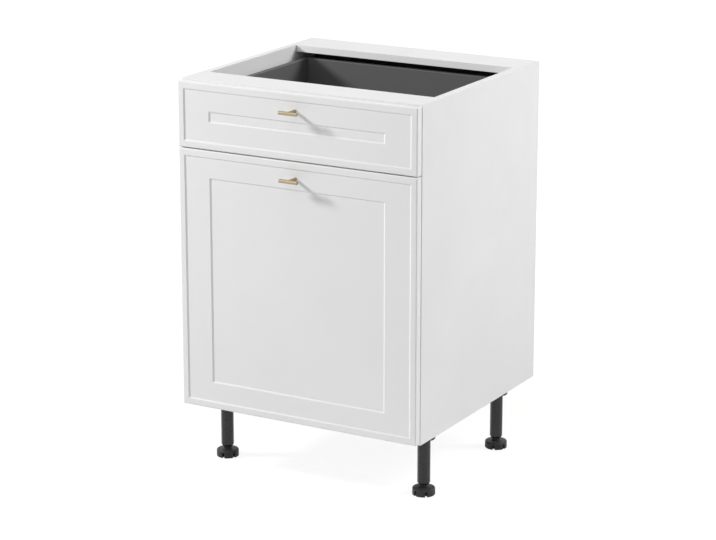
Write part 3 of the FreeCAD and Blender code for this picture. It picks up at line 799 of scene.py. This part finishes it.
fasteners = {
    "countersunk": {"Head Face Radius": 3.8 * mm, "Head Seat Radius": 2.0 * mm, "Head Height": 2.2 * mm,
                    "Shank Radius": 2.0 * mm, "Recess Length": 4.2 * mm, "Recess Width": 1.0 * mm,
                    "Recess Depth": 1.4 * mm, "Seed": 7},
    "panHead": {"Head Face Radius": 2.9 * mm, "Head Seat Radius": 3.8 * mm, "Head Height": 2.2 * mm,
                "Shank Radius": 2.0 * mm, "Recess Length": 4.0 * mm, "Recess Width": 1.0 * mm,
                "Recess Depth": 1.3 * mm, "Seed": 11},
    "rivet": {"Head Face Radius": 2.2 * mm, "Head Seat Radius": 3.0 * mm, "Head Height": 1.0 * mm,
              "Shank Radius": 1.6 * mm, "Recess Length": 1.4 * mm, "Recess Width": 1.4 * mm,
              "Recess Depth": 0.6 * mm, "Seed": 3},
    "cam": {"Head Face Radius": 7.5 * mm, "Head Seat Radius": 7.5 * mm, "Head Height": 12.5 * mm,
            "Shank Radius": 4.0 * mm, "Recess Length": 10.5 * mm, "Recess Width": 1.4 * mm,
            "Recess Depth": 2.0 * mm, "Seed": 5},
}
fastenerNodes = [
    ("leg_plate_screws", "countersunk", (0, 0, 1)),
    ("runner_screws", "countersunk", None),
    ("cam_housings", "cam", (0, 0, 1)),
]
for level in levels:
    fastenerNodes += [
        (level + "_bracket_screws", "countersunk", (0, -1, 0)),
        (level + "_knob_screw", "panHead", (0, -1, 0)),
        (level + "_rail_rivets", "rivet", None),
    ]
for node, kind, axis in fastenerNodes:
    slotName = "zinc_casting" if kind == "cam" else "zinc_steel"
    places = seats(node, axis)
    piece = pointPiece(camel(node), places)
    sizes = dict(fasteners[kind], Length=places[0][2], Material=finishes[slotName])
    runTree(piece, fastenerTree, sizes)
    place(finishEdges(piece), slotName, node)
print("fasteners done")

bumpers = {"Radius": 4.0 * mm, "Floor": 0.0}
for level in levels:
    node = level + "_front_bumpers"
    places = seats(node, (0, 1, 0))
    piece = pointPiece(camel(node), places)
    runTree(piece, studTree, dict(bumpers, Height=places[0][2], Material=finishes["clear_rubber"]))
    place(finishEdges(piece), "clear_rubber", node)
print("bumpers done")

# Levelling legs: plate, tube, and a notched foot on a threaded stem

legs = {
    "plateCorner": 9 * mm, "cornerSteps": 6, "plateEase": 0.4 * mm, "bossRadius": 11.4 * mm,
    "socketRadius": 25 * mm, "socketHeight": 14 * mm, "socketWall": 2.4 * mm, "socketSides": 56,
    "rimSteps": 3, "socketRibs": 8, "ribWidth": 1.8 * mm,
    "slideGap": 0.1 * mm,  # round the tube in its socket, and round the stem in the tube
    "tubeWall": 3 * mm, "tubeEase": 0.8 * mm, "taper": 4 * mm, "taperRadius": 12 * mm,
    "flutes": 10, "fluteSides": 12, "fluteDepth": 0.35 * mm,
    "discHeight": 18 * mm, "discFall": 1.4 * mm, "discEase": 3 * mm, "baseEase": 1 * mm, "discSides": 72,
    "neckRadius": 10.2 * mm, "neckRoot": 9.6 * mm, "neckGap": 0.3 * mm, "neckTurns": 2.5,
    "neckFillet": 0.5 * mm, "neckEase": 0.4 * mm, "neckMargin": 0.4 * mm,
    "stemRadius": 5 * mm, "stemRoot": 4.3 * mm, "stemTurns": 20.0, "stemEase": 0.8 * mm, "stemEnd": 2 * mm,
    "notch": {"Notch Count": 6, "Notch Width": 5 * mm, "Notch Depth": 9 * mm, "Notch Height": 12 * mm},
    "notchEase": 0.35 * mm,
    "turns": {"front_left": 37, "front_right": 11, "back_left": 25, "back_right": 44},  # degrees
}


def makeLegPlate(leg):
    node = "leg_plate_" + leg
    low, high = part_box(node)
    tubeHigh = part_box("leg_tube_" + leg)[1]
    plateLow = tubeHigh.z
    corners = rectangle(low.x, low.y, high.x, high.y)
    bm = bmesh.new()
    outline = roundedPath(corners, legs["plateCorner"], legs["cornerSteps"], closed=True)
    addExtruded(bm, outline, "z", plateLow, high.z)
    plate = newPiece("legPlateSlab", bm)
    head, gap = fasteners["countersunk"], boards["holeClearance"]
    wide, narrow = head["Head Face Radius"] + gap, head["Shank Radius"] + gap
    cutters = bmesh.new()
    for start, way, length in seats("leg_plate_screws", (0, 0, 1)):
        if low.x < start.x < high.x and low.y < start.y < high.y:
            profile = [(0, -gap), (wide, -gap), (wide, 0), (narrow, head["Head Height"]), (narrow, length),
                       (0, length)]
            addTurned(cutters, profile, "z", start, boards["boreSides"])
    cutAway(plate, cutters)
    finishEdges(plate, legs["plateEase"])
    centre = uprightAxis(low, high)
    boss, sleeve = legs["bossRadius"], tubeHigh.x - centre.x + legs["slideGap"]
    wall, bottom, rim = legs["socketWall"], plateLow - legs["socketHeight"], legs["plateEase"]
    bm = bmesh.new()
    addTurned(bm, [(0, low.z), (boss, low.z), (boss, plateLow), (0, plateLow)], "z", centre)
    for inner in (sleeve, legs["socketRadius"] - wall):  # a sleeve round the tube, inside the socket's wall
        corners = rectangle(inner, bottom, inner + wall, plateLow)
        path = roundedPath(corners, [rim, rim, 0, 0], legs["rimSteps"], closed=True)
        addTurned(bm, path + path[:1], "z", centre, legs["socketSides"])
    half = legs["ribWidth"] / 2
    for i in range(legs["socketRibs"]):
        fresh = len(bm.verts)
        addBox(bm, Vector((sleeve + wall / 2, -half, bottom + rim)),
               Vector((legs["socketRadius"] - wall / 2, half, plateLow)))
        bm.verts.ensure_lookup_table()
        angle = math.tau * (i + 0.5) / legs["socketRibs"]
        turn = Matrix.Translation(centre) @ Matrix.Rotation(angle, 4, "Z")
        bmesh.ops.transform(bm, matrix=turn, verts=bm.verts[fresh:])
    socket = finishEdges(newPiece("legPlateSocket", bm))
    place(joinPieces(camel(node), plate, socket), "black_plastic", node)


def makeLegTube(leg):
    node = "leg_tube_" + leg
    low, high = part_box(node)
    centre = uprightAxis(low, high)
    radius = (high.x - low.x) / 2
    bore = legs["stemRadius"] + legs["slideGap"]
    inner = radius - legs["tubeWall"]
    ease = legs["tubeEase"]
    shoulder = low.z + 3 * legs["taper"]
    corners = [(bore, low.z), (legs["taperRadius"], low.z), (radius, low.z + legs["taper"]), (radius, high.z),
               (inner, high.z), (inner, shoulder), (bore, shoulder)]
    path = roundedPath(corners, [0, ease, 2 * ease, 0, 0, 0, 0], closed=True)
    bm = bmesh.new()
    addTurned(bm, path + path[:1], "z", centre, legs["fluteSides"] * legs["flutes"])
    for vert in bm.verts:  # shallow flutes down the outside
        spoke = vert.co.xy - centre.xy
        if spoke.length > legs["taperRadius"] + ease and vert.co.z > low.z + legs["taper"]:
            wave = 0.5 - 0.5 * math.cos(legs["flutes"] * math.atan2(spoke.y, spoke.x))
            vert.co.xy = centre.xy + spoke * (1 - legs["fluteDepth"] / radius * wave ** 3)
    place(finishEdges(newPiece(camel(node), bm)), "black_plastic", node)


def makeFoot(leg):
    node = "foot_" + leg
    low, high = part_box(node)
    radius = (high.x - low.x) / 2
    disc = legs["discHeight"]
    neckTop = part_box("leg_tube_" + leg)[0].z - legs["neckGap"]
    neck, stem = legs["neckRoot"], legs["stemRoot"]
    corners = [(0, 0), (radius, 0), (radius, disc - legs["discFall"]), (neck, disc), (neck, neckTop),
               (stem, neckTop), (stem, high.z), (0, high.z)]
    rounds = [0, legs["baseEase"], legs["discEase"], legs["neckFillet"], legs["neckEase"],
              0, legs["stemEase"], 0]
    foot = turned(camel(node), roundedPath(corners, rounds), "z", Vector(), legs["discSides"])
    sizes = {"Foot Radius": radius, "First Angle": math.radians(legs["turns"][leg]), "Material": mattFoot}
    runTree(foot, notchTree, {**legs["notch"], **sizes})
    finishEdges(foot, legs["notchEase"])
    threads = (
        (legs["neckTurns"], disc, neckTop - disc, neck, legs["neckRadius"]),
        (legs["stemTurns"], neckTop, high.z - neckTop - legs["stemEnd"], stem, legs["stemRadius"]),
    )
    for turns, start, length, root, crest in threads:
        runTree(foot, threadTree, {"Turns": turns, "Start Height": start, "Length": length,
                                   "Root Radius": root, "Ridge": crest - root, "Material": mattFoot})
    place(foot, "black_plastic", node, finish=mattFoot, moreFinishes=(paintedShadeNeck,))
    # Painted shade: the neck and the stem's thread above the disc take the near-black plastic
    reach = legs["neckRadius"] + legs["neckMargin"]
    turnFaces(foot, lambda spot, normal: spot.z > disc and spot.xy.length < reach)
    foot.data.transform(Matrix.Translation(uprightAxis(low, high, low.z)))


for leg in legs["turns"]:
    makeLegPlate(leg)
    makeLegTube(leg)
    makeFoot(leg)
print("legs done")

# Drawer boxes: folded steel sides and back, a board for a bottom

drawers = {
    "sheet": 1.2 * mm, "flange": 1.2 * mm, "bend": 2.2 * mm, "insideBend": 1.0 * mm, "rim": 0.4 * mm,
    "tongueLength": 18 * mm, "tongueHeight": 50 * mm, "tongueGap": 0.4 * mm, "rivetHead": 1.0 * mm,
    "boardEase": 0.4 * mm,
}


def makeDrawerSide(level, side):
    node = level + "_" + side + "_drawer_side"
    low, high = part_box(node)
    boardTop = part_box(level + "_drawer_bottom")[1].z
    sheet, bend, tight, rim = (drawers[key] for key in ("sheet", "bend", "insideBend", "rim"))
    outer, inner = (low.x, high.x) if side == "left" else (high.x, low.x)
    inward = math.copysign(sheet, inner - outer)
    corners = [(outer, low.z), (inner, low.z), (inner, low.z + sheet), (outer + inward, low.z + sheet),
               (outer + inward, high.z - sheet), (inner - inward, high.z - sheet), (inner - inward, boardTop),
               (inner, boardTop), (inner, high.z), (outer, high.z)]
    bends = [bend, rim, rim, tight, tight, tight, rim, rim, bend, bend]
    bm = bmesh.new()
    addExtruded(bm, roundedPath(corners, bends, closed=True), "y", low.y, high.y)
    place(finishEdges(newPiece(camel(node), bm)), "anthracite_steel", node)


def makeDrawerBack(level):
    node = level + "_drawer_back"
    low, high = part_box(node)
    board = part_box(level + "_drawer_bottom")
    front = board[1].y
    bm = bmesh.new()
    addExtruded(bm, channelOutline(front, high.y, low.z, high.z, drawers), "x", low.x, high.x)
    sheet, gap = drawers["sheet"], drawers["tongueGap"]
    outerHalf = high.x - sheet - gap - drawers["rivetHead"]
    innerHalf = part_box(level + "_right_drawer_side")[0].x + sheet + gap
    tongueLow = board[1].z + gap
    for first, second in ((-outerHalf, -innerHalf), (innerHalf, outerHalf)):
        addBox(bm, Vector((first, front - drawers["tongueLength"], tongueLow)),
               Vector((second, front, tongueLow + drawers["tongueHeight"])))
    place(finishEdges(newPiece(camel(node), bm)), "anthracite_steel", node)


for level in levels:
    for side in ("left", "right"):
        makeDrawerSide(level, side)
    makeDrawerBack(level)
    low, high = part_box(level + "_drawer_bottom")
    bottom = finishEdges(slab(level + "DrawerBottom", low, high, drawers["boardEase"]))
    place(bottom, "grey_board", level + "_drawer_bottom")
    wear(cadNodes[level + "_front_brackets"], finishes["zinc_steel"])
print("drawer boxes done")

# Gallery rails over the sides of the deep pull-out, in plastic sockets

gallery = {"railEase": 0.8 * mm, "socketEase": 1.2 * mm, "boreGap": 0.05 * mm, "boreDepth": 14 * mm,
           "boreRim": 0.2 * mm, "turnSides": 32}


def makeGallery():
    rails = bmesh.new()
    for low, high in solidBoxes("gallery_rails"):
        railRadius = (high.x - low.x) / 2
        path = rodProfile(railRadius, (high.y - low.y) / 2, gallery["railEase"])
        addTurned(rails, path, "y", (low + high) / 2, gallery["turnSides"])
    place(finishEdges(newPiece("galleryRails", rails)), "anthracite_steel", "gallery_rails")
    bore = railRadius + gallery["boreGap"]
    sockets = bmesh.new()
    for low, high in solidBoxes("gallery_sockets"):
        radius, length = (high.x - low.x) / 2, high.y - low.y
        floor = length - gallery["boreDepth"]
        corners = [(0, 0), (radius, 0), (radius, length), (bore, length), (bore, floor), (0, floor)]
        path = roundedPath(corners, [0, 0, gallery["socketEase"], gallery["boreRim"], 0, 0])
        base = Vector(((low.x + high.x) / 2, low.y, (low.z + high.z) / 2))
        addTurned(sockets, path, "y", base, gallery["turnSides"])
    place(finishEdges(newPiece("gallerySockets", sockets)), "grey_plastic", "gallery_sockets")


makeGallery()
print("gallery done")

# Ball-bearing runners

runners = {
    "rail": {"sheet": 1.2 * mm, "flange": 1.2 * mm, "bend": 2.0 * mm,
             "insideBend": 0.8 * mm, "rim": 0.3 * mm},
    "cage": {"sheet": 0.7 * mm, "flange": 0.8 * mm, "bend": 0.35 * mm,
             "insideBend": 0.1 * mm, "rim": 0.1 * mm},
    "ball": {"Radius": 1.5 * mm, "Height": 1.5 * mm, "Floor": -1.0},
    "ballGap": 0.15 * mm, "pocketSides": 20,
    "longestBall": 3.75 * mm,  # solids that are longer are cages
}


def addChannel(bm, low, high, webOutward, fold):  # webOutward: the web is on the carcass side
    far, near = (high.x, low.x) if low.x > 0 else (low.x, high.x)
    web, tip = (far, near) if webOutward else (near, far)
    addExtruded(bm, channelOutline(web, tip, low.z, high.z, fold), "y", low.y, high.y)


def makeRail(node, webOutward, screwNode=None):
    bm = bmesh.new()
    for low, high in solidBoxes(node):
        addChannel(bm, low, high, webOutward, runners["rail"])
    rails = newPiece(camel(node), bm)
    if screwNode:
        cutters = bmesh.new()
        addBores(cutters, screwNode, "x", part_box(node))
        cutAway(rails, cutters)
    place(finishEdges(rails), "zinc_steel", node)


def makeCages(node):
    bm = bmesh.new()
    centres = []  # of the balls
    for low, high in solidBoxes(node):
        if high.y - low.y > runners["longestBall"]:
            addChannel(bm, low, high, True, runners["cage"])
        else:
            centres.append((low + high) / 2)
    cage = newPiece("cage", bm)
    reach = runners["ball"]["Radius"] + runners["ballGap"]
    cutters = bmesh.new()
    for centre in centres:
        addTurned(cutters, rodProfile(reach, reach), "z", centre, runners["pocketSides"])
    cutAway(cage, cutters)
    points = pointPiece("balls", [(centre, Vector((0, 0, 1)), 0) for centre in centres])
    runTree(points, studTree, dict(runners["ball"], Material=finishes["zinc_steel"]))
    place(finishEdges(joinPieces(camel(node), cage, points)), "zinc_steel", node)


for level in levels:
    makeRail(level + "_cabinet_rails", True, "runner_screws")
    makeRail(level + "_middle_rails", True)
    makeRail(level + "_drawer_rails", False)
    makeCages(level + "_outer_ball_cages")
    makeCages(level + "_inner_ball_cages")
print("runners done")

# Studio: pale floor, soft light and the photograph's viewing angle

studio = {
    "floorSize": 60.0, "floorGrey": 0.74, "ambient": 0.25,
    "shownGrey": 0.18, "shownGlow": 0.88, "glowNear": 0.8, "glowFar": 2.6,  # the floor as seen fades to white
    "lookAt": Vector((0, 0, 0.5)),
    "key": {"towards": (-0.741, -0.433, 0.512), "distance": 4.6, "size": 0.62, "watts": 155},
    "fill": {"towards": (0.72, 0.42, 0.55), "distance": 4.5, "size": 1.4, "watts": 126},
    "front": {"towards": (0.0, -0.75, 0.66), "distance": 5.0, "size": 3.0, "watts": 30},
}


def addSoftbox(name, look):
    lamp = bpy.data.lights.new(name, "AREA")
    lamp.shape = "SQUARE"
    lamp.size = look["size"]
    lamp.energy = look["watts"]
    softbox = addObject(name, lamp)
    way = Vector(look["towards"]).normalized()
    softbox.location = studio["lookAt"] + way * look["distance"]
    softbox.rotation_euler = way.to_track_quat("Z", "Y").to_euler()
    softbox.visible_camera = False


def seenRays(tree):  # 1 for what the camera sees directly, or in metal and glass
    path = addNode(tree, "ShaderNodeLightPath").outputs
    mirrored = mathOf(tree, "MAXIMUM", path["Is Glossy Ray"], path["Is Transmission Ray"])
    return mathOf(tree, "MAXIMUM", path["Is Camera Ray"], mirrored)


def addFloor():
    half = studio["floorSize"] / 2
    bm = bmesh.new()
    bm.faces.new([bm.verts.new((x, y, 0)) for x, y in rectangle(-half, -half, half, half)])
    floor = newPiece("studioFloor", bm)
    finish = bpy.data.materials.new("paleFloor")
    finish.use_nodes = True
    tree = finish.node_tree
    tree.nodes.clear()
    plain = outOf(tree, "ShaderNodeBsdfDiffuse", {"Color": grey(studio["floorGrey"])})
    faint = outOf(tree, "ShaderNodeBsdfDiffuse", {"Color": grey(studio["shownGrey"])})
    spot = addNode(tree, "ShaderNodeTexCoord").outputs["Object"]
    away = addNode(tree, "ShaderNodeVectorMath", {0: spot}, operation="LENGTH").outputs["Value"]
    feeds = {"Value": away, "From Min": studio["glowNear"], "From Max": studio["glowFar"],
             "To Min": studio["shownGlow"], "To Max": 1.0}
    glow = outOf(tree, "ShaderNodeEmission", {"Strength": outOf(tree, "ShaderNodeMapRange", feeds)})
    shown = outOf(tree, "ShaderNodeAddShader", {0: faint, 1: glow})
    mixed = outOf(tree, "ShaderNodeMixShader", {0: seenRays(tree), 1: plain, 2: shown})
    addNode(tree, "ShaderNodeOutputMaterial", {"Surface": mixed})
    wear(floor, finish)


def lightWorld():
    world = bpy.data.worlds.new("studioWorld")
    scene.world = world
    world.use_nodes = True
    tree = world.node_tree
    back = tree.nodes["Background"]
    back.inputs["Color"].default_value = (1, 1, 1, 1)
    feeds = {"Value": seenRays(tree), "To Min": studio["ambient"], "To Max": 1.0}
    tree.links.new(outOf(tree, "ShaderNodeMapRange", feeds), back.inputs["Strength"])


camera = {"azimuth": 29.58, "elevation": 15.58, "distance": 5.7467, "lens": 126.68, "sensor": 36.0,
          "target": Vector((-0.01404, 0.02585, 0.43313))}


def addCamera():
    eye = bpy.data.cameras.new("photoCamera")
    eye.lens = camera["lens"]
    eye.sensor_width = camera["sensor"]
    stand = addObject("photoCamera", eye)
    turn, tilt = math.radians(camera["azimuth"]), math.radians(camera["elevation"])
    back = Vector((math.sin(turn) * math.cos(tilt), -math.cos(turn) * math.cos(tilt), math.sin(tilt)))
    stand.location = camera["target"] + back * camera["distance"]
    stand.rotation_euler = back.to_track_quat("Z", "Y").to_euler()
    scene.camera = stand


addFloor()
lightWorld()
for softbox in ("key", "fill", "front"):
    addSoftbox(softbox + "Softbox", studio[softbox])
addCamera()
scene.view_settings.view_transform = "Standard"
print("studio done")
